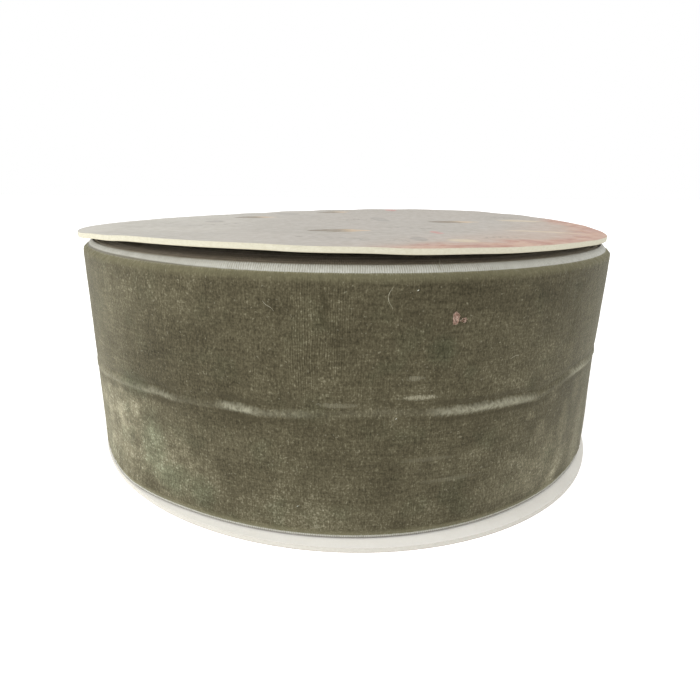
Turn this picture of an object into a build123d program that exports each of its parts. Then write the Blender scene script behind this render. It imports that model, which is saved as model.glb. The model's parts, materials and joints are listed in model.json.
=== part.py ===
from build123d import *
import math
import os

# A spool of velvet ribbon: the ribbon is wound on a paperboard core tube between two round flanges,
# each a board with a paper laminated on both faces. The core is glued to the flanges.
# Frame: +Z is up along the core's axis, and the origin is where that axis meets the underside.

# Driving dimensions, in millimetres and degrees.
RIBBON_WIDTH = 50.0
TURN_PITCH = 0.92  # thickness of one wound turn of velvet
ROLL_RADIUS = 66.0  # outside of the last turn, at the front
CORE_BORE_RADIUS = 38.1  # a 3 inch core
CORE_WALL = 2.4
FLANGE_RADIUS = 65.8
BOARD_THICKNESS = 0.76
PAPER_THICKNESS = 0.12
EDGE_GAP = 1.5  # between the ribbon's upper edge and the top flange
TOP_FLANGE_OFFSET = (-0.9, 0.0)  # the flanges are glued on a little off centre
BOTTOM_FLANGE_OFFSET = (1.0, -2.5)

GLUE_FILM = 0.1
GLUE_BEAD = 2.2
START_TAPE_THICKNESS = 0.15
START_TAPE_ARC = 18.0
START_TAPE_HEIGHT = 46.0

TAIL_END_ANGLE = 126.0  # where the ribbon ends, about +Z from +X
TAIL_ARC = 61.0  # the length of ribbon that peels off the roll
TAIL_BASE_ARC = 26.0  # the part of it between the two hinge lines
TAIL_THICKNESS = 0.6
TAIL_CLEARANCE = 0.3
PILE_GAP = 0.03  # curved layers that lie on velvet touch only the tips of its pile
TAB_THICKNESS = 0.1
TAB_HEIGHT = 19.0
TAB_ARC_ON_TAIL = 11.0
TAB_ARC_PAST_TAIL = 12.0
SPLINE_STEP = 6.0  # largest angle between two points of a spiral edge

# Worked out from them.
FLANGE_THICKNESS = BOARD_THICKNESS + 2 * PAPER_THICKNESS
CORE_RADIUS = CORE_BORE_RADIUS + CORE_WALL
RIBBON_BOTTOM = FLANGE_THICKNESS
RIBBON_TOP = RIBBON_BOTTOM + RIBBON_WIDTH
TOP_FLANGE_BOTTOM = RIBBON_TOP + EDGE_GAP
SPOOL_HEIGHT = TOP_FLANGE_BOTTOM + FLANGE_THICKNESS
FRONT_ANGLE = 270.0
FRONT_TURN_SHARE = (FRONT_ANGLE - TAIL_END_ANGLE) / 360
LAST_TURN_START = ROLL_RADIUS - TURN_PITCH * (1 + FRONT_TURN_SHARE)
TAIL_MIDDLE = TAIL_CLEARANCE + TAIL_THICKNESS / 2
PEEL_ANGLE = 360.0 - TAIL_ARC
UNCURL_ANGLE = PEEL_ANGLE + TAIL_BASE_ARC
JOINT_GAP_ARC = math.degrees((TAIL_THICKNESS / 2 + TAIL_CLEARANCE) / ROLL_RADIUS)


def write(solid, node):
    """One STEP file per sub-part, named after its node."""
    solid.label = node
    export_step(solid, f"parts/{node}.step")


def spiral_point(turn_angle, offset):
    """A point of the last turn: degrees past the line where the ribbon ends, and mm outside its inner face."""
    radius = LAST_TURN_START + TURN_PITCH * turn_angle / 360 + offset
    around = math.radians(TAIL_END_ANGLE + turn_angle)
    return (radius * math.cos(around), radius * math.sin(around))


def spiral_edge(first, last, offset):
    """A smooth edge that follows the last turn between two angles."""
    count = max(2, math.ceil(abs(last - first) / SPLINE_STEP))
    angles = [first + (last - first) * i / count for i in range(count + 1)]
    return Spline(*[spiral_point(angle, offset) for angle in angles])


def spiral_strip(first, last, inner, outer, bottom, height, round_start=False):
    """A length of ribbon or tape lying along the last turn, with its start rounded about a hinge line."""
    inner_edge = spiral_edge(first, last, inner)
    outer_edge = spiral_edge(last, first, outer)
    end = Line(inner_edge @ 1, outer_edge @ 0)
    start = Line(outer_edge @ 1, inner_edge @ 0)
    if round_start:
        behind = math.degrees((outer - inner) / 2 / ROLL_RADIUS)
        start = ThreePointArc(
            outer_edge @ 1, spiral_point(first - behind, (inner + outer) / 2), inner_edge @ 0
        )
    outline = make_face([inner_edge, end, outer_edge, start])
    return Pos(0, 0, bottom) * extrude(outline, height, dir=(0, 0, 1))


def flange_layer(offset, bottom, thickness):
    """One layer of a flange: a disc whose centre is off the core's axis."""
    return Pos(offset[0], offset[1], bottom) * extrude(Circle(FLANGE_RADIUS), thickness)


def flange(side, offset, bottom, papers):
    """A flange's three layers, from the lowest up: a paper, the board and the other paper."""
    lower_paper, upper_paper = papers
    write(flange_layer(offset, bottom, PAPER_THICKNESS), lower_paper)
    write(flange_layer(offset, bottom + PAPER_THICKNESS, BOARD_THICKNESS), f"{side}_flange_board")
    write(
        flange_layer(offset, bottom + PAPER_THICKNESS + BOARD_THICKNESS, PAPER_THICKNESS),
        upper_paper,
    )


def core_tube():
    """The paperboard tube, shorter than the space between the flanges by the two films of glue."""
    height = TOP_FLANGE_BOTTOM - FLANGE_THICKNESS - 2 * GLUE_FILM
    wall = Circle(CORE_RADIUS) - Circle(CORE_BORE_RADIUS)
    return Pos(0, 0, FLANGE_THICKNESS + GLUE_FILM) * extrude(wall, height)


def glue_ring(base, up):
    """Hot-melt glue: a film under the tube's end and a bead in the corner inside it. up is 1 or -1."""
    film_top = base + up * GLUE_FILM
    bead_top = film_top + up * GLUE_BEAD
    bead_radius = CORE_BORE_RADIUS - GLUE_BEAD
    hollow = (CORE_BORE_RADIUS - 0.65 * GLUE_BEAD, 0, film_top + 0.35 * up * GLUE_BEAD)
    flat = Polyline(
        (bead_radius, 0, base),
        (CORE_RADIUS, 0, base),
        (CORE_RADIUS, 0, film_top),
        (CORE_BORE_RADIUS, 0, film_top),
        (CORE_BORE_RADIUS, 0, bead_top),
    )
    fillet_arc = ThreePointArc(flat @ 1, hollow, flat @ 0)
    return revolve(make_face([flat, fillet_arc]), Axis.Z)


def start_tape():
    """Double-sided tape on the core, under the start of the first turn."""
    band = Circle(CORE_RADIUS + START_TAPE_THICKNESS) - Circle(CORE_RADIUS)
    half = math.radians(START_TAPE_ARC / 2)
    far = 2 * CORE_RADIUS
    wedge = make_face(
        Polyline(
            (0, 0),
            (far, -far * math.tan(half)),
            (far, far * math.tan(half)),
            close=True,
        )
    )
    bottom = RIBBON_BOTTOM + (RIBBON_WIDTH - START_TAPE_HEIGHT) / 2
    return Pos(0, 0, bottom) * extrude(band & wedge, START_TAPE_HEIGHT)


def wound_turns(tape):
    """All turns but the last. The outline is a spiral, with one step where the last turn starts."""
    spiral = spiral_edge(0, 360, 0)
    outline = make_face([spiral, Line(spiral @ 1, spiral @ 0)])
    roll = extrude(outline - Circle(CORE_RADIUS), RIBBON_WIDTH, dir=(0, 0, 1))
    return Pos(0, 0, RIBBON_BOTTOM) * roll - tape


def tail_strip(first, last):
    """A stretch of the ribbon's free end. It lies a little off the turn below it."""
    outer = TAIL_CLEARANCE + TAIL_THICKNESS
    return spiral_strip(
        first, last, TAIL_CLEARANCE, outer, RIBBON_BOTTOM, RIBBON_WIDTH, round_start=True
    )


def tape_tab():
    """Clear tape over the ribbon's end. Half of it lies on the tail."""
    inner = TAIL_CLEARANCE + TAIL_THICKNESS + PILE_GAP
    bottom = RIBBON_BOTTOM + (RIBBON_WIDTH - TAB_HEIGHT) / 2
    first, last = 360 - TAB_ARC_ON_TAIL, 360 + TAB_ARC_PAST_TAIL
    return spiral_strip(first, last, inner, inner + TAB_THICKNESS, bottom, TAB_HEIGHT)


os.makedirs("parts", exist_ok=True)

flange("bottom", BOTTOM_FLANGE_OFFSET, 0, ("bottom_facing_paper", "bottom_liner_paper"))
flange("top", TOP_FLANGE_OFFSET, TOP_FLANGE_BOTTOM, ("top_liner_paper", "top_printed_facing"))
write(core_tube(), "core_tube")
write(glue_ring(FLANGE_THICKNESS, 1), "bottom_glue_ring")
write(glue_ring(TOP_FLANGE_BOTTOM, -1), "top_glue_ring")

tape = start_tape()
write(tape, "core_start_tape")
write(wound_turns(tape), "ribbon_wound_turns")
last_turn_end = PEEL_ANGLE - JOINT_GAP_ARC
last_turn = spiral_strip(0, last_turn_end, PILE_GAP, TURN_PITCH, RIBBON_BOTTOM, RIBBON_WIDTH)
write(last_turn, "ribbon_last_turn")
write(tail_strip(PEEL_ANGLE, UNCURL_ANGLE - JOINT_GAP_ARC), "ribbon_tail_base")
write(tail_strip(UNCURL_ANGLE, 360), "ribbon_tail_tip")
write(tape_tab(), "tail_tape_tab")

wound_area = math.pi * ((LAST_TURN_START + TURN_PITCH / 2) ** 2 - CORE_RADIUS**2)
wound_length = wound_area / TURN_PITCH
last_length = 2 * math.pi * (LAST_TURN_START + TURN_PITCH)
print(f"ribbon length {(wound_length + last_length) / 1000:.2f} m, height {SPOOL_HEIGHT:.2f} mm")
for name, angle in (("tail_peel", PEEL_ANGLE), ("tail_uncurl", UNCURL_ANGLE)):
    x, y = spiral_point(angle, TAIL_MIDDLE)
    print(f"{name} axis at x {x:.4f}, y {y:.4f}")
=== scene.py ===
import json
import math
import random

import bpy
import numpy as np
from mathutils import Euler, Matrix, Vector, noise


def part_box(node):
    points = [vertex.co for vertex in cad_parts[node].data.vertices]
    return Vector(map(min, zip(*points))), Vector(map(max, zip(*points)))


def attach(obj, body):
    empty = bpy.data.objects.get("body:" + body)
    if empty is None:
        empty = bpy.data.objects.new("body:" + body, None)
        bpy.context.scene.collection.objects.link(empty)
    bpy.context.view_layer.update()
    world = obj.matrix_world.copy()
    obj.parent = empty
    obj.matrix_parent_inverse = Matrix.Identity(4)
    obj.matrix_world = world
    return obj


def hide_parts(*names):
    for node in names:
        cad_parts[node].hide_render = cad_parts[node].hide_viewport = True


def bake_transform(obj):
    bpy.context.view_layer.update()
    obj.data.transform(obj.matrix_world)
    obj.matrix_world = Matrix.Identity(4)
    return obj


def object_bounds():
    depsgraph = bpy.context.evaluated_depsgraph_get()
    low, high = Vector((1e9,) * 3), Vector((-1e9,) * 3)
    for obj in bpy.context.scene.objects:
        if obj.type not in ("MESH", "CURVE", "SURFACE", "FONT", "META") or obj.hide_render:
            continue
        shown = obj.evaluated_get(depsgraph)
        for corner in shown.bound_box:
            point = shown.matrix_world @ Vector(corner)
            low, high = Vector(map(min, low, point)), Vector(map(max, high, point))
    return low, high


# A spool of olive velvet ribbon, in metres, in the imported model's frame: +Z up, the core's axis on Z.
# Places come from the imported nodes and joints. Angles are in degrees about +Z from +X.

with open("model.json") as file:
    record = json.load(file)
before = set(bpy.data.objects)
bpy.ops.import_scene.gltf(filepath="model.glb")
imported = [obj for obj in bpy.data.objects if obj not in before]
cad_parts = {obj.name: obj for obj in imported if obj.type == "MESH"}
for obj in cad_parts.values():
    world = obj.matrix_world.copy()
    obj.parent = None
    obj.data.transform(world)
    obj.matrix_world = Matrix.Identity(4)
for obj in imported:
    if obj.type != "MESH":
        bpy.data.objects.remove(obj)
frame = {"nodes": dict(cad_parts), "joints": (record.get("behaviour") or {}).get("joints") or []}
cad_low, cad_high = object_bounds()

MM = 0.001
JOINTS = {joint["name"]: joint for joint in frame["joints"]}

# ---------------------------------------------------------------- the wound ribbon's geometry


def polar(place):
    """Distance from the core's axis, and the angle about it."""
    return math.hypot(place[0], place[1]), math.degrees(math.atan2(place[1], place[0])) % 360


PEEL_RADIUS, PEEL_AT = polar(JOINTS["tail_peel"]["pos_m"])
UNCURL_RADIUS, UNCURL_AT = polar(JOINTS["tail_uncurl"]["pos_m"])
TURN_PITCH = (UNCURL_RADIUS - PEEL_RADIUS) * 360 / (UNCURL_AT - PEEL_AT)
TAIL_ARC = 61.0  # degrees of the last turn that peel off
TAIL_MIDDLE = 0.6 * MM  # the tail's hinges lie this far outside the last turn's inner face
PEEL_TURN = 360 - TAIL_ARC  # "turn" angles run along the ribbon, and the ribbon ends at 360
UNCURL_TURN = PEEL_TURN + UNCURL_AT - PEEL_AT
TURN_ZERO_AT = PEEL_AT - PEEL_TURN
LAST_TURN_START = PEEL_RADIUS - TAIL_MIDDLE - TURN_PITCH * PEEL_TURN / 360
RIBBON_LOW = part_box("ribbon_last_turn")[0].z
RIBBON_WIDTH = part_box("ribbon_last_turn")[1].z - RIBBON_LOW
CORE_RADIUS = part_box("core_tube")[1].x
WOUND_TURNS = (LAST_TURN_START - CORE_RADIUS) / TURN_PITCH

UPPER_SELVEDGE, LOWER_SELVEDGE = 1.4 * MM, 0.35 * MM  # widths of the woven edges, which carry no pile
BACKING = 0.33 * MM  # thickness of the cloth under the pile
PILE = TURN_PITCH - 0.02 * MM  # thickness with the pile
SHOULDER = 1.0 * MM  # the pile falls to the selvedge over this width
TOP_CURL, TOP_CURL_ANGLE = 3.0 * MM, math.radians(58)  # the upper edge curls in over the roll
LOW_FLARE, LOW_FLARE_ANGLE = 2.0 * MM, math.radians(30)  # the lower edge flares out a little
CURL_FADE = 3 * 360  # the turns close to the core don't curl
ARC_PER_DEGREE = math.radians(LAST_TURN_START + TURN_PITCH)


def turn_radius(turn):
    """The inner face of the ribbon at a turn angle."""
    return LAST_TURN_START + TURN_PITCH * turn / 360


def turn_of(angle):
    """The last turn's turn angle at an angle about +Z."""
    return (angle - TURN_ZERO_AT) % 360


def smooth_step(value, low, high):
    """0 at low and 1 at high, with an easy start and end. low may be the greater one."""
    share = min(1.0, max(0.0, (value - low) / (high - low)))
    return share * share * (3 - 2 * share)


def rise(turn):
    """How far a turn sits above its place: the outermost one has ridden up a little, the others unevenly."""
    uneven = 0.05 * MM * noise.noise(Vector((turn / 95, 0.3, 0.9)))
    wound_loose = 0.3 * MM * abs(noise.noise(Vector((turn / 130, 4.1, 2.6))))
    last = smooth_step(turn, -200, -20)
    return uneven + 0.06 * MM + 0.06 * MM * last + wound_loose * (1 - last)


# Where the last turn stands off the roll, or is pressed in: (angle, arc, stand-off at its lower edge in mm,
# height in mm at which that has faded out).
LOOSE = [(338, 12, 0.7, 28), (228, 12, 1.1, 9), (304, 16, -0.35, 7)]


def slack(turn, across):
    """How far the last turn stands off the roll low down. Below zero, it is pressed in."""
    if turn <= 0:
        return 0.0
    total = 0.0
    for angle, arc, off, height in LOOSE:
        near = math.exp(-(((turn - turn_of(angle)) / arc) ** 2))
        total += off * MM * near * smooth_step(across, height * MM, 0)
    return total


def cloth_point(turn, across, lift):
    """A point of the wound ribbon: across is up the cloth from its lower edge, lift is out from its back."""
    share = 0.05 + 0.95 * smooth_step(turn + 360 * WOUND_TURNS, 0, CURL_FADE)
    inward, height, lean = 0.0, across, 0.0
    if across > RIBBON_WIDTH - TOP_CURL:
        bend = TOP_CURL / (TOP_CURL_ANGLE * share)
        lean = (across - RIBBON_WIDTH + TOP_CURL) / bend
        inward = bend * (1 - math.cos(lean))
        height = RIBBON_WIDTH - TOP_CURL + bend * math.sin(lean)
    elif across < LOW_FLARE:
        bend = LOW_FLARE / (LOW_FLARE_ANGLE * share)
        lean = (LOW_FLARE - across) / bend
        inward = -bend * (1 - math.cos(lean))
        height = LOW_FLARE - bend * math.sin(lean)
    around = math.radians(TURN_ZERO_AT + turn)
    radius = turn_radius(turn) + slack(turn, across) - inward + lift * math.cos(lean)
    height += RIBBON_LOW + rise(turn) + lift * math.sin(lean)
    return Vector((radius * math.cos(around), radius * math.sin(around), height))


def edge_distance(across):
    """How far a place is from the nearer edge of the ribbon."""
    return min(across, RIBBON_WIDTH - across)


def pile_depth(across):
    """How far inside the pile's edges a place is: below zero on the selvedges."""
    return min(across - LOWER_SELVEDGE, RIBBON_WIDTH - UPPER_SELVEDGE - across)


def face_lift(across, thickness):
    """The outer face: thin at the selvedges, and pile between them."""
    return BACKING + (thickness - BACKING) * smooth_step(pile_depth(across), 0, SHOULDER)


# The crease that runs round the last turn: (angle, place across in mm, depth in mm, crushed pile 0 to 1,
# which also sets the strength of the crease's painted highlight and painted shade).
CREASE = [
    (150, 22.6, 0.10, 0.10),
    (208, 20.8, 0.14, 0.15),
    (216, 21.8, 0.24, 0.30),
    (224, 22.8, 0.24, 0.25),
    (230, 23.4, 0.26, 0.22),
    (236, 24.0, 0.28, 0.28),
    (239.5, 24.3, 0.28, 0.50),
    (242, 24.0, 0.20, 0.40),
    (244, 24.1, 0.12, 0.12),
    (250.8, 24.6, 0.16, 0.08),
    (252.4, 24.8, 0.30, 0.72),
    (256.5, 24.5, 0.30, 0.76),
    (258.2, 24.4, 0.20, 0.30),
    (265, 24.7, 0.14, 0.20),
    (268, 24.8, 0.05, 0.05),
    (276, 25.2, 0.04, 0.10),
    (282, 25.1, 0.06, 0.06),
    (285, 24.8, 0.20, 0.50),
    (290, 24.7, 0.34, 0.70),
    (298, 24.7, 0.34, 0.80),
    (302.5, 24.4, 0.30, 0.70),
    (304.5, 24.3, 0.14, 0.10),
    (309, 25.1, 0.12, 0.06),
    (314, 26.0, 0.18, 0.15),
    (318, 26.3, 0.28, 0.75),
    (321, 26.3, 0.24, 0.65),
    (324, 26.2, 0.20, 0.30),
    (329, 26.0, 0.20, 0.35),
    (340, 25.8, 0.10, 0.10),
    (400, 24.6, 0.08, 0.08),
]
CREASE_WIDTH = 0.5 * MM


def crease_at(turn):
    """Place and depth of the crease at a turn angle, in metres."""
    angle = (TURN_ZERO_AT + turn - CREASE[0][0]) % 360 + CREASE[0][0]
    angles = [point[0] for point in CREASE]
    across = np.interp(angle, angles, [point[1] for point in CREASE]) * MM
    depth = np.interp(angle, angles, [point[2] for point in CREASE]) * MM
    return across, depth


def cloth_noise(along, across, long, wide, seed):
    """Noise from -1 to 1 on the cloth, with blobs of about long by wide mm."""
    return noise.noise(Vector((along / (long * MM), across / (wide * MM), seed)))


def face_relief(turn, across):
    """How far the pile stands proud of a plain face: waves, crushed pile, the crease and edge tufts."""
    along = turn * ARC_PER_DEGREE
    inside = smooth_step(pile_depth(across), 0, 3.5 * MM)
    at_edge = smooth_step(pile_depth(across), -0.4 * MM, 0.3 * MM) * (1 - inside)
    wave = 0.14 * MM * cloth_noise(along, across, 34, 21, 3.1)
    crushed = 0.05 * MM * cloth_noise(along, across, 4.2, 5.5, 8.4)
    nap = 0.03 * MM * cloth_noise(along, across, 0.9, 2.1, 1.7)
    crease_across, depth = crease_at(turn)
    away = (across - crease_across) / CREASE_WIDTH
    ridge = depth * (math.exp(-away * away) - 0.75 * math.exp(-((away - 2.2) ** 2) / 1.8))
    tufts = 0.16 * MM * cloth_noise(along, across, 1.1, 0.8, 6.2)
    return inside * (wave + crushed + nap + ridge) + at_edge * tufts


# ---------------------------------------------------------------- meshes


def mesh_object(name, points, faces, materials, face_material=None, uv=None, sharp_above=None):
    """A smooth-shaded mesh object. uv holds one (u, v) pair for each corner of each face."""
    mesh = bpy.data.meshes.new(name)
    mesh.from_pydata([tuple(p) for p in points], [], faces)
    for material in materials:
        mesh.materials.append(material)
    if face_material is not None:
        mesh.polygons.foreach_set("material_index", face_material)
    if uv is not None:
        layer = mesh.uv_layers.new(name="cloth")
        layer.data.foreach_set("uv", np.array(uv, np.float32).ravel())
    mesh.polygons.foreach_set("use_smooth", [True] * len(mesh.polygons))
    if sharp_above is not None:
        mesh.set_sharp_from_angle(angle=math.radians(sharp_above))
    mesh.validate()
    mesh.update()
    made = bpy.data.objects.new(name, mesh)
    bpy.context.scene.collection.objects.link(made)
    return made


def ribbon_section(rows, thickness):
    """The ribbon's closed cross-section, as (across, lift, is outer face), up the pile and down the back."""
    outer = [(across, face_lift(across, thickness), True) for across in rows]
    backs = [across for across in rows if edge_distance(across) < TOP_CURL][::2]
    backs += [0.0, RIBBON_WIDTH / 2, RIBBON_WIDTH]
    inner = [(across, 0.0, False) for across in sorted(set(backs), reverse=True)]
    return outer + inner


def row_places(coarse, fine_bands):
    """Places across the ribbon, close together at its edges and in the bands (low, high, step)."""
    places, across = [0.0], 0.0
    bands = [
        (0.0, LOWER_SELVEDGE + SHOULDER, 0.2 * MM),
        (RIBBON_WIDTH - UPPER_SELVEDGE - 1.6 * SHOULDER, RIBBON_WIDTH, 0.2 * MM),
        *fine_bands,
    ]
    while across < RIBBON_WIDTH - 0.3 * MM:
        near = [step for low, high, step in bands if low - coarse / 2 <= across < high]
        across += min(near, default=coarse)
        places.append(across)
    places[-1] = RIBBON_WIDTH
    return places


def ribbon_strip(name, first, last, step, section, materials, relief=None):
    """A length of ribbon that follows the spiral from one turn angle to another, closed at both ends.
    relief moves the outer face. The second material is the back's."""
    columns = max(2, round((last - first) / step) + 1)
    turns = [first + (last - first) * i / (columns - 1) for i in range(columns)]
    points, uv, faces, sides = [], [], [], []
    size = len(section)
    for turn in turns:
        for across, lift, outer in section:
            extra = relief(turn, across) if relief and outer else 0.0
            points.append(cloth_point(turn, across, lift + extra))
    for column in range(columns - 1):
        left, right = turns[column] * ARC_PER_DEGREE, turns[column + 1] * ARC_PER_DEGREE
        for row in range(size):
            after = (row + 1) % size
            a, b = column * size + row, column * size + after
            faces.append((a, a + size, b + size, b))
            low, high = section[row][0], section[after][0]
            uv += [(left, low), (right, low), (right, high), (left, high)]
            sides.append(0 if section[row][2] and section[after][2] else 1)
    for start, order in ((0, 1), ((columns - 1) * size, -1)):
        ring = [start + row for row in range(size)][::order]
        faces.append(tuple(ring))
        uv += [(turns[0] * ARC_PER_DEGREE, section[row - start][0]) for row in ring]
        sides.append(1)
    return mesh_object(name, points, faces, materials, sides, uv, sharp_above=50)


# ---------------------------------------------------------------- material graphs


class Graph:
    """A material's node graph, built with short calls. Each call gives an output socket.
    The settings are the shader's own sockets, with _ for a space."""

    def __init__(self, name, **settings):
        self.material = bpy.data.materials.new(name)
        self.material.use_nodes = True
        self.tree = self.material.node_tree
        self.shader = self.tree.nodes["Principled BSDF"]
        for socket, value in settings.items():
            self.shader.inputs[socket.replace("_", " ")].default_value = value

    def add(self, kind, inputs=(), output=0, **settings):
        node = self.tree.nodes.new(kind)
        for key, value in settings.items():
            setattr(node, key, value)
        for key, value in dict(inputs).items():
            if isinstance(value, bpy.types.NodeSocket):
                self.tree.links.new(value, node.inputs[key])
            else:
                node.inputs[key].default_value = value
        return node.outputs[output]

    def set(self, socket, value):
        self.tree.links.new(value, self.shader.inputs[socket])

    def math(self, operation, a, b=0.0):
        return self.add("ShaderNodeMath", {0: a, 1: b}, operation=operation)

    def plus(self, a, b):
        return self.math("ADD", a, b)

    def minus(self, a, b):
        return self.math("SUBTRACT", a, b)

    def times(self, a, b):
        return self.math("MULTIPLY", a, b)

    def scaled(self, vector, scale, shift=(0, 0, 0)):
        """The vector times scale, plus shift."""
        return self.add("ShaderNodeVectorMath", {0: vector, 1: scale, 2: shift}, operation="MULTIPLY_ADD")

    def noise(self, vector, size, detail=2.0, roughness=0.5, distortion=0.0):
        """Noise from 0 to 1, with blobs of about that size."""
        inputs = {
            "Vector": vector,
            "Scale": 1 / size,
            "Detail": detail,
            "Roughness": roughness,
            "Distortion": distortion,
        }
        return self.add("ShaderNodeTexNoise", inputs)

    def spread(self, value, low, high, to_low=0.0, to_high=1.0, kind="SMOOTHSTEP"):
        """value from low to high becomes to_low to to_high, and stays there beyond."""
        inputs = {"Value": value, 1: low, 2: high, 3: to_low, 4: to_high}
        return self.add("ShaderNodeMapRange", inputs, interpolation_type=kind)

    def straight(self, value, low, high, to_low=0.0, to_high=1.0):
        """The same in proportion, without the easy start and end."""
        return self.spread(value, low, high, to_low, to_high, "LINEAR")

    def mix(self, share, a, b, blend="MIX"):
        """Two colours, or one colour over the other."""
        inputs = {"Factor": share, 6: a, 7: b}
        return self.add("ShaderNodeMix", inputs, output=2, data_type="RGBA", blend_type=blend)

    def ramp(self, value, stops):
        """A colour ramp with stops of (place, colour)."""
        node = self.tree.nodes.new("ShaderNodeValToRGB")
        elements = node.color_ramp.elements
        while len(elements) < len(stops):
            elements.new(0.5)
        for element, (place, colour) in zip(elements, stops):
            element.position = place
            element.color = colour
        self.tree.links.new(value, node.inputs[0])
        return node.outputs[0]

    def weighted(self, *layers):
        """The sum of the (value, weight) layers."""
        total = self.times(*layers[0])
        for value, weight in layers[1:]:
            total = self.plus(total, self.times(value, weight))
        return total

    def own_mm(self):
        """The piece's own coordinates, in mm."""
        return self.scaled(self.add("ShaderNodeTexCoord", output=3), (1000, 1000, 1000))

    def bump(self, height, distance, strength):
        inputs = {"Height": height, "Distance": distance, "Strength": strength}
        return self.add("ShaderNodeBump", inputs)


def rgb(red, green, blue):
    """A display colour from 0 to 255, as linear light."""
    linear = [
        c / 12.92 if c <= 0.04045 else ((c + 0.055) / 1.055) ** 2.4
        for c in (red / 255, green / 255, blue / 255)
    ]
    return (*linear, 1.0)


def cloth_mm(g):
    """The cloth's own coordinates in mm: along the ribbon, and across it from its lower edge."""
    return g.scaled(g.add("ShaderNodeUVMap", uv_map="cloth"), (1000, 1000, 1000))


def parts_of(g, vector):
    """The x and y of a vector."""
    x = g.add("ShaderNodeSeparateXYZ", {0: vector})
    return x, x.node.outputs[1]


def crease_curves(g, along):
    """The crease's place across in mm, and how crushed the pile is on it, which also sets its painted
    highlight and painted shade, from the place along in mm.
    """
    outputs = []
    share = g.math("DIVIDE", along, 360 * ARC_PER_DEGREE / MM)
    for column, top in ((1, 50.0), (3, 1.0)):
        node = g.tree.nodes.new("ShaderNodeFloatCurve")
        curve = node.mapping.curves[0]
        places = sorted((turn_of(point[0]) / 360, point[column] / top) for point in CREASE)
        while len(curve.points) < len(places):
            curve.points.new(0.5, 0.5)
        for point, place in zip(curve.points, places):
            point.location = place
            point.handle_type = "AUTO_CLAMPED"
        node.mapping.update()
        g.tree.links.new(share, node.inputs["Value"])
        outputs.append(g.times(node.outputs[0], top))
    return outputs


# Pale patches of pile, partly rubbed pile and partly painted light: the large patches at the left are
# painted light from the left and painted sheen at that edge. Each is (angle, place across, half length and
# half height in mm, paleness 0 to 1).
RUBBED_AND_LIT_PATCHES = [
    (207, 10.0, 28, 16, 0.70),
    (228, 12.0, 15, 11, 0.70),
    (241, 8.0, 12, 8, 0.60),
    (222, 22.0, 14, 12, 0.35),
    (203, 34.0, 12, 20, 0.50),
    (226, 38.0, 14, 9, 0.30),
    (238, 18.0, 13, 6, 0.25),
    (254, 16.0, 10, 4, 0.20),
    (278.5, 24.2, 0.7, 0.8, 0.75),
    (289.2, 41.0, 1.2, 0.7, 0.45),
    (303.5, 20.5, 1.6, 1.2, 0.60),
    (306, 16.0, 2.4, 3.0, 0.50),
    (309.5, 23.2, 2.0, 1.6, 0.55),
    (308, 10.0, 9.0, 8.0, 0.40),
    (313, 1.8, 3.6, 3.2, 1.00),
    (315, 6.6, 2.6, 3.4, 0.90),
    (315, 15.9, 2.6, 5.0, 0.70),
    (319, 21.0, 2.4, 4.0, 0.55),
    (324, 9.0, 4.0, 11, 0.60),
    (301, 6.0, 10, 6.0, 0.45),
    (300, 34.0, 12, 10, 0.15),
    (268, 4.0, 18, 3.0, 0.25),
    (290, 13.0, 12, 5.0, 0.20),
]
# Where the weave's rows show through the pile: (angle, place across and half length in mm, strength).
SHOWING_ROWS = [
    (284, 15.8, 5.0, 0.13),
    (288, 11.2, 5.0, 0.15),
    (282.2, 27.7, 3.0, 0.60),
    (281.2, 31.2, 1.4, 0.30),
    (270.0, 26.5, 3.4, 0.30),
]
# Where the weave's ribs show: (angle, place across, half length and half height in mm).
SHOWING_RIBS = [
    (265, 38.0, 3.6, 12.0),
    (269.5, 40.0, 3.0, 9.0),
    (322, 28.0, 6.0, 16.0),
    (302, 12.0, 6.0, 9.0),
]
# Where the pile looks greener, and where it is streaked darker, in the same way.
GREENISH = [
    (236, 12.0, 5.0, 8.0),
    (241, 6.5, 6.0, 4.0),
    (247, 5.5, 4.0, 4.0),
    (232, 24.0, 6.0, 3.0),
    (285, 36.0, 3.0, 3.0),
]
DARK_STREAK = (267.8, 43.0, 0.8, 4.0)
RIB = 0.4  # mm between the ribs of the weave
ROW_HEIGHT = 0.45  # mm of half the band in which a row shows
RUBBED_AND_LIT_TINT = (2.0, 2.05, 2.2, 1.0)  # rubbed pile and the painted light give back twice the light
THREAD = rgb(160, 156, 134)  # single threads and tufts


def place_along(angle):
    """The place along the ribbon, in mm, of an angle on the last turn."""
    return turn_of(angle) * ARC_PER_DEGREE / MM


def patch_distance(g, along, across, angle, middle, half_length, half_height):
    """The squared distance from a patch's middle: 1 at its edge."""
    u = g.math("DIVIDE", g.minus(along, place_along(angle)), half_length)
    v = g.math("DIVIDE", g.minus(across, middle), half_height)
    return g.plus(g.times(u, u), g.times(v, v))


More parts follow.
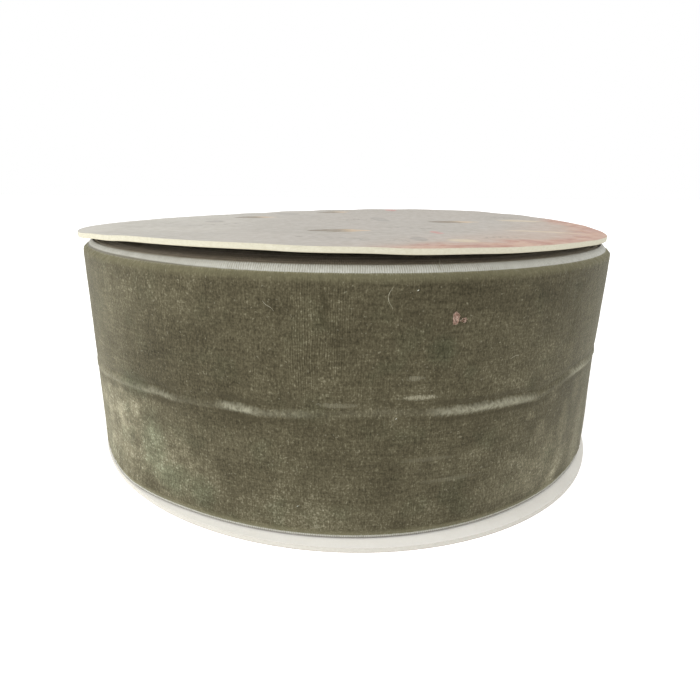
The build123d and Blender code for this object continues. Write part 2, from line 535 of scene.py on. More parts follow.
def with_crease(g, mm, nap, pile):
    """The pile's colour with the crease drawn in: a broken line of crushed pile painted paler as a
    highlight, and painted shade above and below.
    """
    along, across = parts_of(g, mm)
    line, crushed_highlight = crease_curves(g, along)
    wobble = g.straight(g.noise(g.scaled(mm, (0.4, 1, 1)), 2.0, 2), 0, 1, -0.3, 0.3)
    away = g.minus(g.minus(across, line), wobble)
    strokes = g.straight(g.noise(g.scaled(mm, (0.6, 0.35, 1)), 0.4, 3, 0.6), 0.25, 0.7, -0.3, 0.3)
    on_line = g.spread(g.plus(g.math("ABSOLUTE", away), strokes), 0.15, 1.15, 1, 0)
    broken = g.spread(g.noise(g.scaled(mm, (0.8, 0.5, 1)), 0.5, 3, 0.65), 0.32, 0.6, 0.4, 1)
    # Painted shade in bands above and below the crease.
    above = g.spread(g.math("ABSOLUTE", g.minus(away, 1.6)), 0.0, 1.2, 0.5, 0)
    below = g.spread(g.math("ABSOLUTE", g.plus(away, 1.5)), 0.0, 1.0, 0.6, 0)
    shade = g.times(g.plus(above, below), g.spread(crushed_highlight, 0, 0.6, 0.3, 1))
    pile = g.mix(shade, pile, rgb(58, 53, 38))
    # Crushed pile along the crease, painted paler as a highlight.
    crushed_highlight = g.times(g.times(on_line, broken), crushed_highlight)
    crushed_pile_highlight = g.mix(nap, rgb(118, 115, 96), rgb(172, 170, 150))
    return g.mix(crushed_highlight, pile, crushed_pile_highlight)


def velvet_material():
    """Olive velvet: crushed pile, fine strokes of nap, rubbed places and painted light, painted light
    towards the lower edge, and the crease with its painted highlight and shade.
    """
    g = Graph(
        "olive_velvet",
        Roughness=0.95,
        Specular_IOR_Level=0.12,
        Sheen_Weight=0.26,
        Sheen_Roughness=0.4,
        Sheen_Tint=rgb(220, 218, 200),
    )
    mm = cloth_mm(g)
    along, across = parts_of(g, mm)
    cloud = g.noise(mm, 19, 3, 0.55, 0.4)
    crushed = g.noise(g.scaled(mm, (1, 0.8, 1)), 4.0, 5, 0.62, 0.3)
    nap = g.noise(g.scaled(mm, (1, 0.3, 1), (0, 0, 7)), 0.28, 2, 0.6)
    grain = g.noise(g.scaled(mm, (1, 0.9, 1), (0, 0, 3)), 0.36, 3, 0.7)
    bent = g.plus(along, g.times(g.noise(mm, 6, 2), 0.9))
    ribs = g.math("SINE", g.times(bent, 2 * math.pi / RIB))
    ribs_show = g.spread(g.noise(g.scaled(mm, (1, 0.45, 1), (5, 1, 4)), 6, 3, 0.6), 0.48, 0.72, 0, 0.5)
    ragged = g.straight(g.noise(g.scaled(mm, (1, 1, 1), (9, 2, 6)), 4, 6, 0.7), 0.25, 0.75, -0.7, 0.7)
    for patch in SHOWING_RIBS:
        away = patch_distance(g, along, across, *patch)
        ribs_show = g.math("MAXIMUM", ribs_show, g.spread(g.plus(away, ragged), 1.2, 0.2, 0, 1.2))
    edge = g.math(
        "MINIMUM",
        g.minus(across, LOWER_SELVEDGE / MM),
        g.minus((RIBBON_WIDTH - UPPER_SELVEDGE) / MM, across),
    )
    strokes_up = g.noise(g.scaled(mm, (1, 0.12, 1), (2, 0, 5)), 0.5, 3, 0.6)
    rows_along = g.noise(g.scaled(mm, (0.1, 1, 1), (0, 4, 2)), 0.45, 3, 0.6)
    value = g.weighted(
        (cloud, 0.22), (crushed, 0.20), (nap, 0.30), (grain, 0.52), (strokes_up, 0.20), (rows_along, 0.20)
    )
    # Painted light: the pile is lighter towards its lower edge.
    value = g.plus(value, g.spread(across, 0, 26, 0.05, 0))
    value = g.plus(value, g.times(g.times(ribs, ribs_show), 0.04))
    pile = g.ramp(
        g.straight(value, 0.62, 1.06),
        [
            (0.0, rgb(42, 38, 25)),
            (0.40, rgb(68, 63, 47)),
            (0.68, rgb(88, 83, 64)),
            (1.0, rgb(132, 127, 107)),
        ],
    )
    green = g.spread(g.noise(g.scaled(mm, (1, 1, 1), (60, 8, 2)), 7, 3, 0.55), 0.52, 0.7, 0, 0.3)
    for patch in GREENISH:
        away = patch_distance(g, along, across, *patch)
        green = g.math("MAXIMUM", green, g.spread(g.plus(away, ragged), 1.4, -0.2, 0, 0.7))
    pile = g.mix(green, pile, g.mix(1.0, pile, rgb(226, 243, 238), "MULTIPLY"))
    flecks = g.noise(g.scaled(mm, (1, 1, 1), (3, 5, 9)), 0.55, 1, 0.5)
    pile = g.mix(g.spread(flecks, 0.68, 0.80, 0, 0.28), pile, THREAD)
    streak = patch_distance(g, along, across, *DARK_STREAK)
    streak = g.plus(streak, g.spread(nap, 0.3, 0.7, -0.5, 0.5))
    pile = g.mix(g.spread(streak, 1.3, 0.3, 0, 0.45), pile, rgb(48, 44, 29))

    # Pale patches: rubbed pile, and painted light and sheen at the left.
    for *patch, paleness in RUBBED_AND_LIT_PATCHES:
        away = patch_distance(g, along, across, *patch)
        rubbed_and_lit = g.spread(g.plus(away, ragged), 1.3, -0.2, 0, paleness)
        pile = g.mix(rubbed_and_lit, pile, g.mix(1.0, pile, RUBBED_AND_LIT_TINT, "MULTIPLY"))

    dots = g.spread(ribs, -0.6, 0.9, 0.7, 1)
    scattered = g.straight(grain, 0.35, 0.65, -0.9, 0.9)
    for *row_place, strength in SHOWING_ROWS:
        away = patch_distance(g, along, across, *row_place, ROW_HEIGHT)
        row = g.times(g.spread(g.plus(away, scattered), 1.3, 0.1, 0, strength), dots)
        pile = g.mix(row, pile, THREAD)

    fringe = g.plus(edge, g.spread(nap, 0.2, 0.8, -0.3, 0.3))
    fringe = g.minus(fringe, g.times(ribs, 0.05))
    pile = g.mix(g.spread(fringe, 0.2, 1.8, 0.6, 0), pile, rgb(120, 116, 90))
    pile = g.mix(g.spread(fringe, -0.2, 0.35, 0.7, 0), pile, rgb(146, 144, 126))

    g.set("Base Color", with_crease(g, mm, nap, pile))
    g.set("Normal", g.bump(g.weighted((nap, 0.6), (grain, 0.8)), 0.22 * MM, 0.5))
    return g.material


def selvedge_material(name, colours, rib, shaded=0.0):
    """Ribbed weave of the ribbon's edge. rib is how much its ribs show, shaded how much painted shade
    darkens it below its top edge, deep in the roll.
    """
    g = Graph(name, Roughness=0.75, Sheen_Weight=0.25)
    mm = cloth_mm(g)
    along, across = parts_of(g, mm)
    bent = g.plus(along, g.times(g.noise(mm, 4, 2), 0.5))
    ribs = g.math("SINE", g.times(bent, 2 * math.pi / RIB))
    floats = g.noise(g.scaled(mm, (1, 0.5, 1)), 0.3, 3, 0.65)
    tone = g.weighted((ribs, rib), (floats, 0.6), (g.noise(mm, 2.4, 4, 0.6), 0.4))
    border = g.minus(RIBBON_WIDTH / MM, across)
    tone = g.minus(tone, g.spread(border, 0.0, 0.3, 0.25, 0))
    weave = g.ramp(g.straight(tone, 0.2, 0.8), list(zip((0.0, 0.5, 1.0), colours)))
    # Painted shade: the weave darkens below its top edge by shaded.
    weave = g.mix(g.spread(border, 0.25, 0.7, 0, shaded), weave, rgb(52, 47, 38))
    creep = g.spread(along, place_along(228), place_along(262), 0.45, 0)
    covered = g.spread(g.plus(g.plus(border, creep), g.times(floats, 0.3)), 1.5, 1.8)
    upper = g.math("LESS_THAN", border, RIBBON_WIDTH / MM / 2)
    weave = g.mix(g.times(covered, upper), weave, rgb(88, 83, 64))
    # Painted shadow: the ribbon's lowest 0.2 mm is darker, as a shadow line along the flange.
    g.set("Base Color", g.mix(g.spread(across, 0.05, 0.2, 0.7, 0), weave, rgb(104, 97, 86)))
    g.set("Normal", g.bump(g.plus(g.times(ribs, rib), floats), 0.16 * MM, 0.5))
    return g.material


def backing_material():
    """The back of the ribbon: plain weave, paler and smoother than the pile."""
    g = Graph("ribbon_backing", Roughness=0.8, Sheen_Weight=0.2)
    mm = cloth_mm(g)
    threads = {"Vector": mm, "Scale": 1.2, "Distortion": 0.5}
    warp = g.add("ShaderNodeTexWave", threads)
    weft = g.add("ShaderNodeTexWave", threads, bands_direction="Y")
    weave = g.times(warp, weft)
    tone = g.weighted((weave, 0.5), (g.noise(mm, 3, 3), 0.5))
    g.set("Base Color", g.ramp(tone, [(0.0, rgb(96, 91, 72)), (1.0, rgb(140, 135, 112))]))
    g.set("Normal", g.bump(weave, 0.06 * MM, 0.6))
    return g.material


def paper_material(name, light, dark, roughness):
    """Smooth white paper with a faint fibre cloud."""
    g = Graph(name, Roughness=roughness)
    mm = g.own_mm()
    cloud = g.noise(mm, 6, 4, 0.6)
    fibre = g.noise(g.scaled(mm, (1, 0.35, 1)), 0.5, 3, 0.6)
    tone = g.weighted((cloud, 0.6), (fibre, 0.4))
    g.set("Base Color", g.ramp(tone, [(0.3, dark), (0.7, light)]))
    g.set("Normal", g.bump(fibre, 0.03 * MM, 0.25))
    return g.material


# The print on the upper flange, a plain watercolour: each motif's start, end and width in mm.
LEAVES = [
    ((-6.8, -30.0), (8.5, -27.6), 8.0),
    ((24.4, 3.4), (40.7, 5.9), 10.0),
    ((-32.0, 16.0), (-19.0, 22.0), 9.0),
    ((-8.0, 50.0), (5.0, 56.0), 8.0),
]
LEAF_TINTS = [
    (0.0, rgb(96, 84, 62)),
    (0.5, rgb(122, 106, 78)),
    (0.7, rgb(190, 164, 130)),
    (1.0, rgb(206, 186, 160)),
]
SPRIGS = [
    ((-7.5, -44.0), (7.0, -49.8), 5.0),
    ((2.0, 10.2), (10.4, 11.5), 9.0),
    ((12.0, -18.3), (24.4, -21.6), 4.6),
    ((9.0, -50.2), (14.0, -50.8), 4.0),
    ((-40.0, 24.0), (-30.0, 38.0), 6.0),
    ((-24.0, -8.0), (-36.0, -20.0), 4.0),
    ((47.0, 26.0), (57.0, 18.0), 4.0),
    ((28.0, -42.5), (36.0, -40.0), 4.0),
]
GREY_WASHES = [
    ((10.3, 14.2), (15.2, 14.8), 24.0),
    ((13.8, -46.8), (17.4, -46.6), 10.0),
    ((-36.0, -4.0), (-30.0, -2.0), 9.0),
    ((-22.0, 40.0), (-14.0, 44.0), 14.0),
]
PINK_DROPS = [
    ((20.3, -31.6), (22.8, -31.2), 8.0),
    ((18.0, 59.0), (22.5, 60.0), 9.0),
]
STREAKS = [
    ((37.0, -23.2), (58.0, -27.4), 4.5),
    ((46.0, 14.0), (60.0, 8.0), 8.0),
    ((20.0, -49.5), (27.0, -47.5), 7.0),
]


def motif_places(g, mm, motifs):
    """Places along and across each motif in turn: both run from -1 to 1 inside it."""
    for start, end, width in motifs:
        inputs = {
            "Vector": mm,
            "Location": ((start[0] + end[0]) / 2, (start[1] + end[1]) / 2, 0),
            "Rotation": (0, 0, math.atan2(end[1] - start[1], end[0] - start[0])),
            "Scale": (math.dist(start, end) / 2, width / 2, 1),
        }
        yield parts_of(g, g.add("ShaderNodeMapping", inputs, vector_type="TEXTURE"))


def round_mask(g, x, y, soft):
    """A soft-edged ellipse inside the unit circle, and the squared distance from its middle."""
    away = g.plus(g.times(x, x), g.times(y, y))
    return g.spread(away, 1.0, soft, 0, 1), away


def printed_material():
    """Coated card with a soft watercolour print: blush washes at one side, leaves, sprigs and drops."""
    g = Graph("printed_face", Specular_IOR_Level=0.15)
    still = g.own_mm()
    drift = g.add("ShaderNodeTexNoise", {"Vector": still, "Scale": 0.35, "Detail": 3.0}, output=1)
    mm = g.scaled(drift, (2.6, 2.6, 0), still)
    x, y = parts_of(g, still)

    paper = g.mix(g.spread(x, -55, 5), rgb(180, 176, 165), rgb(163, 156, 146))
    paper = g.mix(g.spread(g.noise(still, 26, 3, 0.5), 0.35, 0.7, 0, 0.5), paper, rgb(154, 149, 139))
    paper = g.mix(g.spread(g.noise(still, 9, 4, 0.6), 0.52, 0.68, 0, 0.3), paper, rgb(175, 168, 158))

    away = g.add("ShaderNodeVectorMath", {0: g.scaled(still, (1, 1, 0))}, output=1, operation="LENGTH")
    side = g.weighted((x, 0.82), (y, -0.57))
    ragged = g.straight(g.noise(still, 7, 4, 0.6), 0, 1, -7, 7)
    rim = g.plus(away, ragged)
    blush = g.times(g.spread(rim, 55, 62), g.spread(side, 38, 46))
    glow = g.times(g.spread(rim, 30, 58, 0, 0.55), g.spread(side, 30, 56))
    petal = g.mix(g.spread(g.noise(mm, 5, 4, 0.6), 0.35, 0.65), rgb(160, 104, 84), rgb(188, 150, 126))
    paper = g.mix(glow, paper, rgb(180, 150, 129))
    paper = g.mix(g.times(blush, 0.8), paper, petal)
    for u, v in motif_places(g, mm, STREAKS):
        mask, _ = round_mask(g, u, v, 0.2)
        paper = g.mix(g.times(mask, 0.65), paper, rgb(200, 184, 154))
    for u, v in motif_places(g, mm, GREY_WASHES):
        mask, depth = round_mask(g, u, v, 0.35)
        shade = g.mix(g.spread(depth, 0.2, 0.9), rgb(142, 136, 128), rgb(118, 112, 104))
        paper = g.mix(g.times(mask, 0.7), paper, shade)
    for u, v in motif_places(g, mm, PINK_DROPS):
        mask, _ = round_mask(g, u, v, 0.5)
        paper = g.mix(g.times(mask, 0.75), paper, rgb(182, 128, 120))
    for u, v in motif_places(g, mm, SPRIGS):  # a bowed stem with small leaves, left and right in turn
        v = g.plus(v, g.times(g.minus(g.times(u, u), 0.4), 0.5))
        out = g.math("ABSOLUTE", v)
        stem = g.spread(out, 0.10, 0.03, 0, 1)
        leaning = g.minus(g.times(u, 2.5), g.times(out, 0.6))
        staggered = g.plus(leaning, g.times(g.math("SIGN", v), 0.25))
        cell = g.minus(g.math("FRACT", staggered), 0.5)
        bud, _ = round_mask(g, g.times(cell, 5.0), g.times(g.minus(out, 0.4), 2.8), 0.3)
        inside = g.spread(g.math("ABSOLUTE", u), 1.0, 0.92, 0, 1)
        mask = g.times(g.math("MAXIMUM", stem, bud), inside)
        paper = g.mix(g.times(mask, 0.7), paper, rgb(124, 118, 108))
    for u, v in motif_places(g, mm, LEAVES):
        body = g.minus(g.minus(1.0, g.times(u, u)), g.math("ABSOLUTE", v))
        mask = g.spread(body, 0.0, 0.2)
        tint = g.ramp(g.straight(u, -1, 1), LEAF_TINTS)
        vein = g.spread(g.math("ABSOLUTE", v), 0.02, 0.12, 0.45, 0)
        tint = g.mix(vein, tint, rgb(88, 76, 56))
        paper = g.mix(g.times(mask, 0.85), paper, tint)

    screen = g.noise(still, 0.35, 2, 0.5)
    paper = g.mix(g.spread(screen, 0.3, 0.7, 0, 0.10), paper, rgb(150, 142, 134))
    g.set("Base Color", paper)
    coat = g.noise(still, 1.8, 3, 0.6)
    g.set("Roughness", g.spread(coat, 0.3, 0.7, 0.36, 0.5))
    g.set("Normal", g.bump(coat, 0.02 * MM, 0.3))
    return g.material


def board_material(name, stops):
    """Pulp board: its cut edge shows layers and short fibres."""
    g = Graph(name, Roughness=0.9)
    mm = g.own_mm()
    layers = g.noise(g.scaled(mm, (0.25, 0.25, 1)), 0.16, 3, 0.6)
    pulp = g.noise(mm, 0.5, 4, 0.65)
    tone = g.weighted((layers, 0.5), (pulp, 0.5))
    g.set("Base Color", g.ramp(tone, list(zip((0.3, 0.55, 0.8), stops))))
    g.set("Normal", g.bump(tone, 0.06 * MM, 0.5))
    return g.material


def plain_material(name, colour, roughness, speck_size, depth):
    """A plain finish with a little mottle."""
    g = Graph(name, Roughness=roughness)
    mottle = g.noise(g.own_mm(), speck_size, 4, 0.6)
    darker = tuple(c * 0.72 for c in colour[:3]) + (1.0,)
    g.set("Base Color", g.ramp(mottle, [(0.3, darker), (0.7, colour)]))
    g.set("Normal", g.bump(mottle, depth, 0.5))
    return g.material


# ---------------------------------------------------------------- flanges

# How far the upper flange's rim is bent up or down, as (angle, rise in mm).
RIM_RISE = [
    (0, -0.2),
    (8, 0.1),
    (16, 0.5),
    (30, 0.95),
    (45, 1.35),
    (60, 1.3),
    (75, 1.0),
    (90, 0.55),
    (105, 0.0),
    (120, -0.6),
    (135, -1.2),
    (150, -1.55),
    (165, -1.5),
    (180, -1.25),
    (190, -1.05),
    (200, -0.9),
    (207, -0.8),
    (215, -0.4),
    (225, 0.25),
    (240, 0.7),
    (255, 0.7),
    (270, 0.45),
    (285, 0.1),
    (300, -0.1),
    (312, -0.15),
    (325, -0.4),
    (337, -0.8),
    (348, -0.6),
]


def rim_rise(angle):
    """The rim's rise at an angle, in metres, smooth between the places that are given."""
    total, weight = 0.0, 0.0
    for place, up in RIM_RISE:
        off = (angle - place + 180) % 360 - 180
        near = math.exp(-((off / 7) ** 2))
        total += near * up
        weight += near
    return total / weight * MM


def upper_warp(x, y):
    """The upper flange lies flat on the core's end and is bent outside it. x and y are from its centre."""
    away = math.hypot(x, y)
    share = max(0.0, away - CORE_RADIUS) / (FLANGE_RADIUS - CORE_RADIUS)
    if share == 0:
        return 0.0
    bend = rim_rise(math.degrees(math.atan2(y, x)))
    return bend * share ** (1.3 if bend > 0 else 2.5)


def disc_layer(name, centre, radius, low, high, materials, warp, rough, seed):
    """One layer of a flange: a closed disc with a rough cut edge. A second material covers its top."""
    columns = 480
    shares = [0.15, 0.3, 0.45, 0.6, 0.66, 0.72, 0.78, 0.84, 0.9, 0.95, 0.98]
    inner = [radius * share for share in shares]
    edge_rows = 4
    profile = [(r, high) for r in inner] + [(radius - 0.06 * MM, high)]
    profile += [(radius, high - (high - low) * i / edge_rows) for i in range(edge_rows + 1)]
    profile += [(radius - 0.06 * MM, low)] + [(r, low) for r in reversed(inner)]
    points, faces, sides = [], [], []
    for column in range(columns):
        around = 2 * math.pi * column / columns
        c, s = math.cos(around), math.sin(around)
        for r, z in profile:
            if r > radius - 0.1 * MM:
                fibre = Vector((c * radius / (0.7 * MM), s * radius / (0.7 * MM), z / (0.25 * MM) + seed))
                r += rough * noise.noise(fibre)
            x, y = r * c, r * s
            points.append((centre[0] + x, centre[1] + y, z + (warp(x, y) if warp else 0.0)))
    size = len(profile)
    top = len(materials) - 1
    for column in range(columns):
        here, after = column * size, (column + 1) % columns * size
        for row in range(size - 1):
            faces.append((here + row, here + row + 1, after + row + 1, after + row))
            sides.append(top if row < len(inner) + 1 else 0)
    for z, row in ((high, 0), (low, size - 1)):
        points.append((centre[0], centre[1], z))
        for column in range(columns):
            here, after = column * size + row, (column + 1) % columns * size + row
            corner = (len(points) - 1, here, after)
            faces.append(corner if row == 0 else corner[::-1])
            sides.append(top if row == 0 else 0)
    return mesh_object(name, points, faces, materials, sides, sharp_above=40)


def node_disc(node):
    """Centre, radius, low and high of a disc node."""
    low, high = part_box(node)
    return ((low.x + high.x) / 2, (low.y + high.y) / 2), (high.x - low.x) / 2, low.z, high.z


FLANGE_RADIUS = node_disc("top_flange_board")[1]

white_paper = paper_material("white_paper", rgb(243, 241, 235), rgb(235, 232, 224), 0.6)
cream_board = board_material("cream_board", [rgb(178, 173, 152), rgb(190, 186, 167), rgb(199, 195, 180)])
pale_board = board_material("pale_board", [rgb(184, 180, 170), rgb(194, 191, 182), rgb(201, 199, 191)])
# Painted shade: a darker copy of the white paper, for the upper flange's liner and its edge.
shaded_paper_edge = paper_material("shaded_paper_edge", rgb(190, 184, 164), rgb(173, 166, 142), 0.8)
# Painted shade: the lower flange's lowest paper is darker, as a contact shadow along its foot.
shaded_base_paper = paper_material("shaded_base_paper", rgb(170, 160, 152), rgb(154, 142, 134), 0.8)
printed = printed_material()


def flange(layers, warp):
    """A flange's layers, each in the place of its node."""
    for node, materials, slot, shrink, rough in layers:
        centre, radius, low, high = node_disc(node)
        seed = low / MM
        piece = disc_layer(f"{node}_sheet", centre, radius - shrink, low, high, materials, warp, rough, seed)
        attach(piece, "spool")
        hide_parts(node)


flange(
    [
        ("top_printed_facing", [cream_board, printed], "printed_paper", 0.02 * MM, 0.02 * MM),
        ("top_flange_board", [cream_board], "cream_board", 0.03 * MM, 0.07 * MM),
        ("top_liner_paper", [shaded_paper_edge], "white_paper", 0.05 * MM, 0.05 * MM),
    ],
    upper_warp,
)
flange(
    [
        ("bottom_liner_paper", [pale_board, white_paper], "white_paper", 0.02 * MM, 0.02 * MM),
        ("bottom_flange_board", [pale_board], "cream_board", 0.03 * MM, 0.05 * MM),
        ("bottom_facing_paper", [shaded_base_paper], "white_paper", 0.04 * MM, 0.02 * MM),
    ],
    None,
)

# ---------------------------------------------------------------- ribbon pieces

velvet, backing = velvet_material(), backing_material()
SELVEDGE_TONES = [rgb(124, 121, 108), rgb(162, 161, 151), rgb(188, 188, 181)]
# The inner turns' edges are browner for the pile beside them, and darker as painted shade under the flange.
SHADED_INNER_TONES = [rgb(102, 92, 76), rgb(140, 130, 113), rgb(170, 161, 145)]
selvedge = selvedge_material("woven_selvedge", SELVEDGE_TONES, 0.14)
shaded_inner_selvedge = selvedge_material("shaded_inner_selvedge", SHADED_INNER_TONES, 0.08, 0.88)
STEP = 0.36  # degrees between columns of the last turn
BLEND_ARC = 8.0  # half the arc on each side of a hinge line that tangent_points reaches
SEAM_1 = PEEL_TURN - BLEND_ARC - 1  # the cloth is cut into its pieces at these turn angles
SEAM_2 = (PEEL_TURN + UNCURL_TURN) / 2


def edge_faces(piece, material):
    """Gives the woven edges their own material."""
    layer = piece.data.uv_layers["cloth"].data
    piece.data.materials.append(material)
    for face in piece.data.polygons:
        places = [layer[i].uv[1] for i in face.loop_indices]
        if pile_depth(sum(places) / len(places)) < 0:
            face.material_index = len(piece.data.materials) - 1


def wound_turns():
    """Every turn under the last one, as one spiral strip."""
    low_rows = [0, 0.3 * MM, LOWER_SELVEDGE, 1.1 * MM, LOWER_SELVEDGE + SHOULDER, 8 * MM, RIBBON_WIDTH / 2]
    top_rows = [8 * MM, UPPER_SELVEDGE + SHOULDER, 1.9 * MM, UPPER_SELVEDGE, 1.0 * MM, 0.6 * MM, 0.3 * MM, 0]
    rows = low_rows + [RIBBON_WIDTH - across for across in top_rows]
    section = ribbon_section(rows, TURN_PITCH - 0.4 * MM)
    piece = ribbon_strip("wound_ribbon", -360 * WOUND_TURNS, 0, 3.0, section, [velvet, backing])
    edge_faces(piece, shaded_inner_selvedge)
    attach(piece, "spool")
    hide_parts("ribbon_wound_turns")


def face_strip(name, first, last, node):
    """A length of the ribbon that shows: its face is finely modelled."""
    rows = row_places(0.5 * MM, [(20 * MM, 28 * MM, 0.25 * MM)])
    section = ribbon_section(rows, PILE)
    piece = ribbon_strip(name, first, last, STEP, section, [velvet, backing], relief=face_relief)
    edge_faces(piece, selvedge)
    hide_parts(node)
    return piece


def tangent_points(turn, half_arc):
    """Two points along the ribbon's direction, before and after a hinge line."""
    middle = cloth_point(turn, RIBBON_WIDTH / 2, TAIL_MIDDLE)
    way = (cloth_point(turn + 1, RIBBON_WIDTH / 2, TAIL_MIDDLE) - middle).normalized()
    reach = half_arc * ARC_PER_DEGREE
    return middle - way * reach, middle + way * reach


wound_turns()
last_turn = face_strip("last_turn", 0, SEAM_1, "ribbon_last_turn")
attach(last_turn, "spool")
tail_base = face_strip("tail_base_ribbon", SEAM_1, SEAM_2, "ribbon_tail_base")
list(tangent_points(PEEL_TURN, BLEND_ARC))
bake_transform(tail_base)
tail_tip = face_strip("tail_tip_ribbon", SEAM_2, 360, "ribbon_tail_tip")
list(tangent_points(UNCURL_TURN, BLEND_ARC))
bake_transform(tail_tip)

# ---------------------------------------------------------------- tape and lint

FILM = 0.05 * MM  # thickness of the clear tape
FILM_TURNS = (349, 372)  # turn angles of its two ends
FILM_ABOVE = 0.07 * MM  # the film rides on the tips of the pile


def film_material():
    """Clear tape: nearly all light goes through, and its face is glossy and a little cloudy."""
    g = Graph("clear_tape")
    cloud = g.noise(g.own_mm(), 2.5, 4, 0.6)
    g.set("Base Color", g.ramp(cloud, [(0.3, rgb(226, 224, 212)), (0.7, rgb(240, 239, 232))]))
    g.set("Alpha", g.spread(cloud, 0.3, 0.7, 0.035, 0.055))
    g.set("Roughness", g.spread(cloud, 0.3, 0.7, 0.18, 0.3))
    return g.material


def film_place(turn, across, up):
    """A point of the tape: over the tail's end, then stepping down to the face of the last turn."""
    on_tail = PILE + max(0.0, face_relief(min(turn, 360), across))
    on_turn = PILE - TURN_PITCH + max(0.0, face_relief(max(turn - 360, 0), across))
    lift = on_tail + (on_turn - on_tail) * smooth_step(turn, 359.8, 361.2)
    return cloth_point(turn, across, lift + FILM_ABOVE + up)


def tail_film():
    """The tab of clear tape that holds the ribbon's end, with toothed ends where it was torn off."""
    low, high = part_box("tail_tape_tab")
    steps, columns = 38, 92
    rows = [low.z - RIBBON_LOW + (high.z - low.z) * i / steps for i in range(steps + 1)]
    points, faces = [], []
    for row, across in enumerate(rows):
        tooth = 0.25 * (row % 2)
        first, last = FILM_TURNS[0] + tooth, FILM_TURNS[1] - tooth
        for column in range(columns + 1):
            turn = first + (last - first) * column / columns
            points += [film_place(turn, across, 0.0), film_place(turn, across, FILM)]
    span = 2 * (columns + 1)
    for row in range(steps):
        for column in range(columns):
            a = row * span + 2 * column
            b, c, d = a + 2, a + span + 2, a + span
            faces += [(a, d, c, b), (a + 1, b + 1, c + 1, d + 1)]
            if row == 0:
                faces.append((a, b, b + 1, a + 1))
            if row == steps - 1:
                faces.append((c, d, d + 1, c + 1))
        start, end = row * span, row * span + 2 * columns
        faces.append((start, start + 1, start + span + 1, start + span))
        faces.append((end, end + span, end + span + 1, end + 1))
    piece = mesh_object("tail_tape_film", points, faces, [film_material()])
    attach(piece, "tail_tip")
    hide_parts("tail_tape_tab")


# Loose fibres on the pile, each as its spots: (angle, height up the ribbon and off the pile in mm).
LINT = [
    [(277.3, 46.8, 0.1), (276.6, 45.7, 0.3), (276.5, 44.7, 0.3), (277.3, 43.2, 0.1)],
    [(259.2, 44.0, 0.1), (259.7, 43.4, 0.3), (260.4, 43.1, 0.3), (260.8, 42.4, 0.1)],
    [(283.9, 48.8, 0.0), (284.3, 49.8, 0.2), (284.8, 51.2, 0.3)],
    [(297.0, 33.0, 0.1), (297.9, 33.6, 0.2), (298.6, 33.3, 0.1)],
]
SPECKS = [(280.7, 46.1), (278.6, 24.1), (264.0, 6.5)]
# Tufts of pink fluff: (angle, height, half width and half height in mm, number of fibres).
FLUFF = [(286.6, 41.3, 0.5, 1.0, 170), (287.8, 40.9, 0.7, 0.35, 24)]
LINT_RADIUS, SPECK_RADIUS, FLUFF_RADIUS = 0.04 * MM, 0.06 * MM, 0.028 * MM


def pile_spot(angle, height, off):
    """A point a little off the pile of the last turn."""
    turn, across = turn_of(angle), height * MM
    return cloth_point(turn, across, face_lift(across, PILE) + face_relief(turn, across) + off * MM)


def rounded(path):
    """The path with its corners cut three times."""
    for _ in range(3):
        cut = [path[0]]
        for here, after in zip(path, path[1:]):
            cut += [here.lerp(after, 0.25), here.lerp(after, 0.75)]
        path = cut + [path[-1]]
    return path


def add_fibre(path, radius, points, faces):
    """Adds a closed tube along a path, thinner towards its ends."""
    sides, start = 6, len(points)
    for index, place in enumerate(path):
        way = (path[min(index + 1, len(path) - 1)] - path[max(index - 1, 0)]).normalized()
        across = way.cross(Vector((place.x, place.y, 0))).normalized()
        up = way.cross(across)
        width = radius * (0.35 + 0.65 * math.sin(math.pi * (index + 0.5) / len(path)))
        for side in range(sides):
            around = 2 * math.pi * side / sides
            points.append(place + (across * math.cos(around) + up * math.sin(around)) * width)
    for index in range(len(path) - 1):
        for side in range(sides):
            a, b = start + index * sides + side, start + index * sides + (side + 1) % sides
            faces.append((a, b, b + sides, a + sides))
    last = start + (len(path) - 1) * sides
    faces += [tuple(range(start + sides - 1, start - 1, -1)), tuple(range(last, last + sides))]


def fibre_material(name, dark, light):
    """Loose fibre, mottled from dark to light."""
    g = Graph(name, Roughness=0.8)
    tone = g.noise(g.own_mm(), 0.6, 3, 0.6)
    g.set("Base Color", g.ramp(tone, [(0.35, dark), (0.65, light)]))
    g.set("Normal", g.bump(tone, 0.03 * MM, 0.5))
    return g.material


def fibres(name, paths, radius, material):
    """One piece of loose fibres on the last turn."""
    points, faces = [], []
    for path in paths:
        add_fibre(rounded([pile_spot(*spot) for spot in path]), radius, points, faces)
    piece = mesh_object(name, points, faces, [material])
    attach(piece, "spool")


def wisp(chance, angle, height, wide, tall):
    """One short curved fibre at a random place in a tuft, as spots."""
    degree = ARC_PER_DEGREE / MM
    heading, reach = chance.uniform(0, 2 * math.pi), math.sqrt(chance.random())
    angle += wide * reach * math.cos(heading) / degree
    height += tall * reach * math.sin(heading)
    lean, bow = chance.uniform(0, 2 * math.pi), chance.uniform(0.08, 0.28)
    along, up = bow * math.cos(lean) / degree, bow * math.sin(lean)
    return [
        (angle - along, height - up, 0.05),
        (angle + up * 0.5 / degree, height - along * 0.5, chance.uniform(0.1, 0.5)),
        (angle + along, height + up, 0.05),
    ]


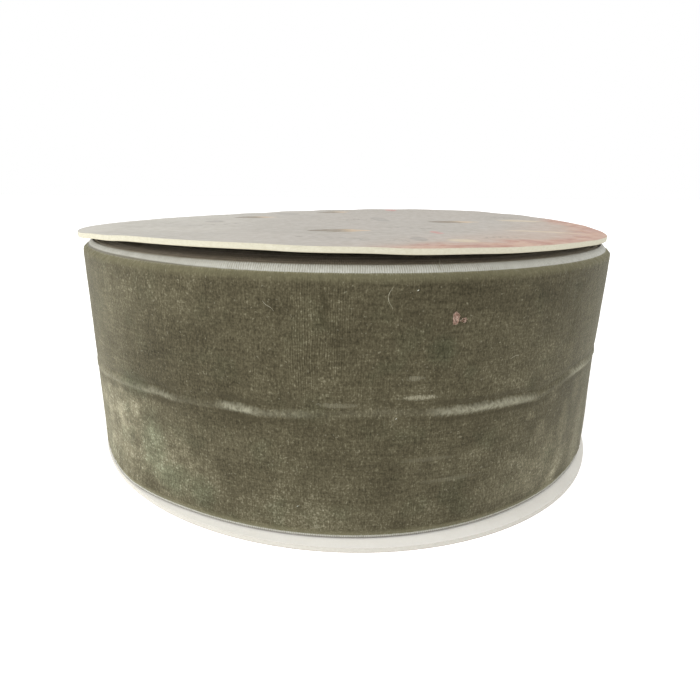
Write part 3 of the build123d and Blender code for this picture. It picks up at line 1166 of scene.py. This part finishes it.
def lint():
    """The stray fibres, white specks and pink fluff on the last turn."""
    pale = fibre_material("pale_lint", rgb(116, 112, 92), rgb(160, 156, 136))
    fibres("lint", LINT, LINT_RADIUS, pale)
    white = fibre_material("white_lint", rgb(160, 162, 148), rgb(214, 214, 200))
    specks = [[(a - 0.1, h - 0.1, 0.05), (a, h, 0.14), (a + 0.12, h + 0.08, 0.05)] for a, h in SPECKS]
    fibres("specks", specks, SPECK_RADIUS, white)
    pink = fibre_material("pink_fluff", rgb(142, 104, 86), rgb(208, 186, 170))
    chance = random.Random(4)
    wisps = [wisp(chance, *tuft) for *tuft, count in FLUFF for _ in range(count)]
    fibres("pink_fluff", wisps, FLUFF_RADIUS, pink)


tail_film()
lint()

# ---------------------------------------------------------------- the hidden pieces' finishes


def refinish(node, material):
    """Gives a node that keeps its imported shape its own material."""
    materials = frame["nodes"][node].data.materials
    materials.clear()
    materials.append(material)


refinish("core_tube", plain_material("core_board", rgb(166, 150, 128), 0.85, 1.2, 0.1 * MM))
glue = plain_material("hot_melt_glue", rgb(232, 224, 190), 0.35, 3.0, 0.2 * MM)
refinish("bottom_glue_ring", glue)
refinish("top_glue_ring", glue)
refinish("core_start_tape", plain_material("double_sided_tape", rgb(232, 232, 226), 0.5, 2.0, 0.05 * MM))

# ---------------------------------------------------------------- floor, light and camera

FLOOR_REACH = 3.0  # from the floor's middle to its sides
SOFTBOX_SIZE = 0.5


def floor():
    """A plain pale floor at the height that the spool stands on."""
    g = Graph("pale_floor", Roughness=0.9, Emission_Color=(1.0, 1.0, 1.0, 1.0), Emission_Strength=0.34)
    tone = g.noise(g.add("ShaderNodeTexCoord", output=3), 0.4, 3)
    g.set("Base Color", g.ramp(tone, [(0.0, rgb(246, 246, 245)), (1.0, rgb(250, 250, 249))]))
    corners = [(-1, -1), (1, -1), (1, 1), (-1, 1)]
    points = [(x * FLOOR_REACH, y * FLOOR_REACH, cad_low.z) for x, y in corners]
    plane = mesh_object("floor", points, [(0, 1, 2, 3)], [g.material])


def softbox(name, place, aim, power):
    """A round white area light that points at aim."""
    light = bpy.data.lights.new(name, "AREA")
    light.shape = "DISK"
    light.size = SOFTBOX_SIZE
    light.energy = power
    made = bpy.data.objects.new(name, light)
    made.location = place
    made.rotation_euler = (Vector(aim) - Vector(place)).to_track_quat("-Z", "Y").to_euler()
    bpy.context.scene.collection.objects.link(made)


def studio():
    """White surroundings and two softboxes."""
    world = bpy.data.worlds.new("studio")
    world.use_nodes = True
    background = world.node_tree.nodes["Background"]
    background.inputs["Color"].default_value = (1.0, 1.0, 1.0, 1.0)
    background.inputs["Strength"].default_value = 1.0
    bpy.context.scene.world = world
    middle = (0, 0, cad_high.z / 2)
    softbox("key_softbox", (-0.7, -0.3, 0.25), middle, 3.4)
    softbox("fill_softbox", (0.0, -0.6, 0.6), middle, 1.1)
    bpy.context.scene.view_settings.view_transform = "Standard"


# The camera stands close in front of the roll, a little above it, and looks down at it.
CAMERA_BACK = 143.2 * MM
CAMERA_UP = 62.5 * MM
CAMERA_DOWN, CAMERA_TURN, CAMERA_ROLL = 17.21, -2.28, 0.41  # degrees
CAMERA_LENS, SENSOR = 25.81, 36.0
CAMERA_SHIFT = (0.043, -0.010)


def camera():
    """The camera that the scene renders from."""
    data = bpy.data.cameras.new("camera")
    data.lens = CAMERA_LENS
    data.sensor_width = SENSOR
    data.shift_x, data.shift_y = CAMERA_SHIFT
    data.clip_start = 5 * MM
    made = bpy.data.objects.new("camera", data)
    aim = Euler((math.radians(90 - CAMERA_DOWN), 0, -math.radians(CAMERA_TURN))).to_matrix()
    turned = aim @ Matrix.Rotation(math.radians(CAMERA_ROLL), 3, "Z")
    made.matrix_world = Matrix.Translation((0, -CAMERA_BACK, CAMERA_UP)) @ turned.to_4x4()
    bpy.context.scene.collection.objects.link(made)
    bpy.context.scene.camera = made


floor()
studio()
camera()
